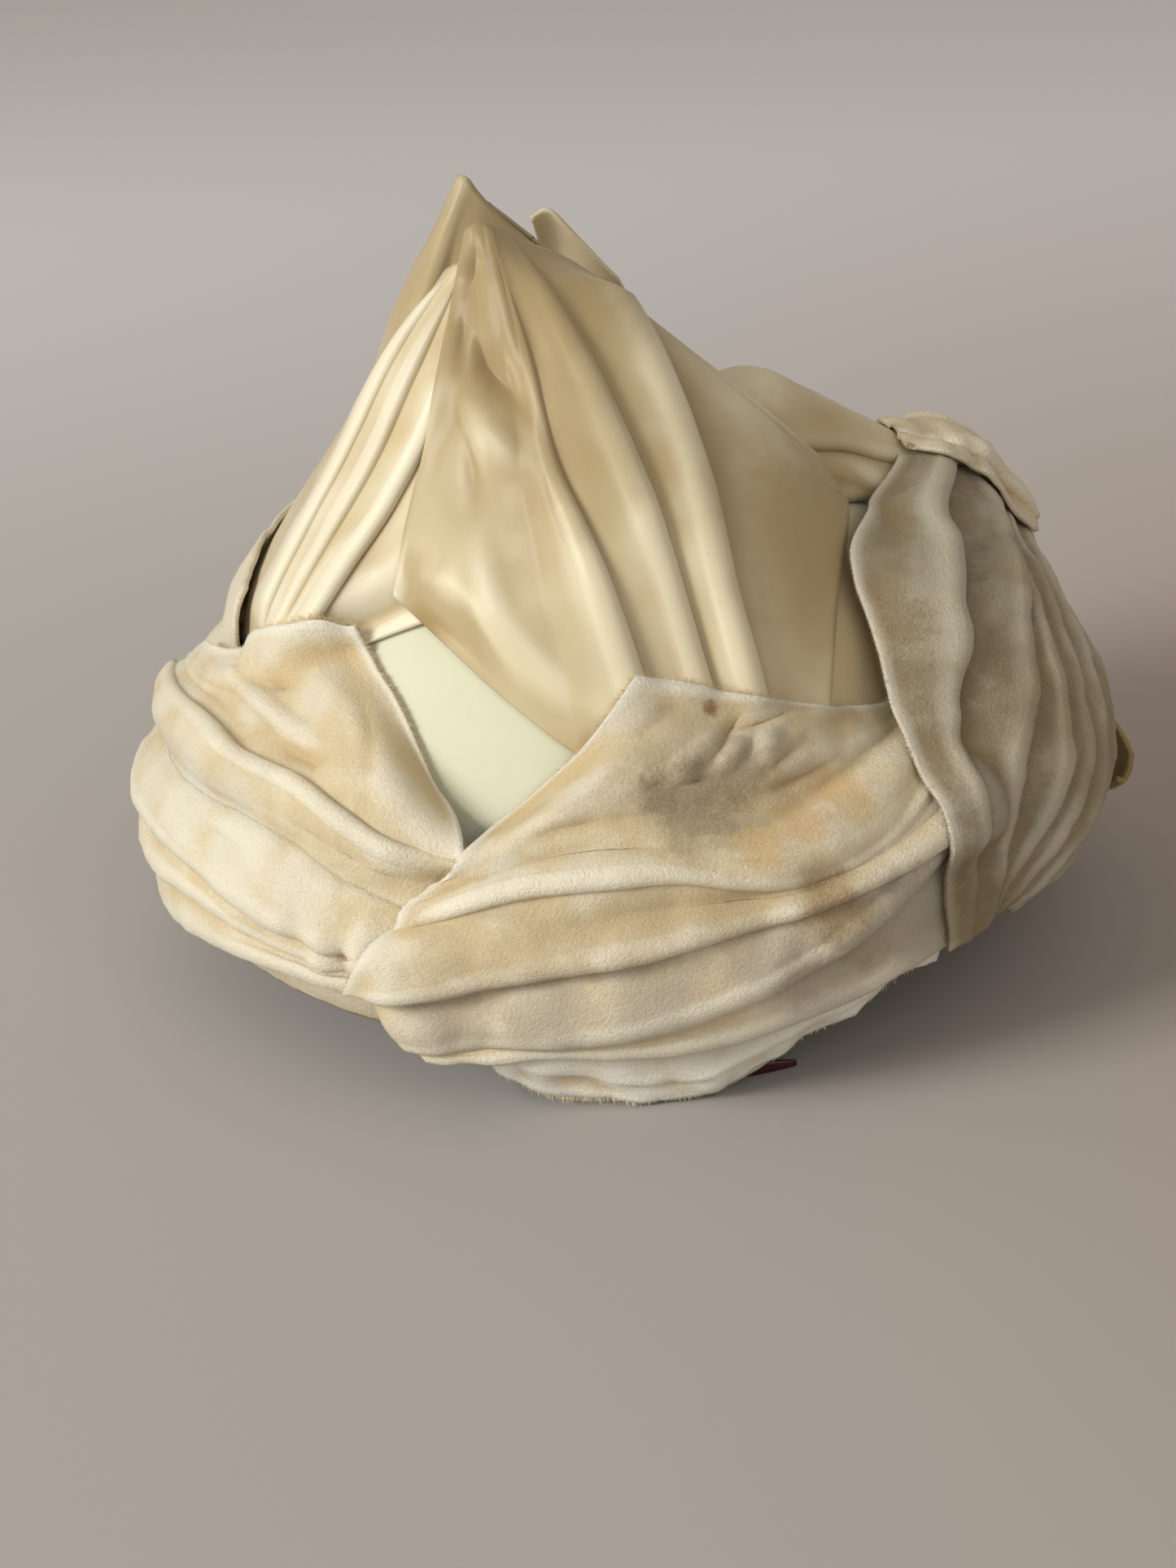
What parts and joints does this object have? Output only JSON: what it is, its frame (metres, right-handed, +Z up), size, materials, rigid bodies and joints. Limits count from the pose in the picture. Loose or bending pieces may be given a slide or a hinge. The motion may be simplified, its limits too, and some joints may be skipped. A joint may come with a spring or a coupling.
{
  "type": "draped cocktail hat",
  "caption": "Draped cocktail hat: a stiff domed crown under pointed pleated satin petals, with folded velvet leaves wrapped round it and gathered into a knot at one side.",
  "frame": {"origin": "middle of the oval head opening, in the plane that the front and the back of the rim rest on", "axes": "+Z up out of the crown, -Y to the front of the hat, +X to the side with the knot"},
  "size_m": [0.2186, 0.2049, 0.1661],
  "materials": {
    "crown_satin": "satin",
    "petal_satin": "satin",
    "velvet": "matte",
    "ribbon_satin": "satin"
  },
  "bodies": {
    "root": {"crown": "crown_satin", "right_drape": "petal_satin", "back_petal": "petal_satin", "rear_petal": "petal_satin", "left_petal": "petal_satin", "front_petal": "petal_satin", "front_hem": "velvet", "front_band": "velvet", "left_band": "velvet", "back_band": "velvet", "back_left_leaf": "velvet", "left_leaf": "velvet", "front_leaf": "velvet", "right_leaf": "velvet", "right_tip": "velvet", "knot": "velvet", "ribbon_end": "ribbon_satin"}
  },
  "joints": []
}
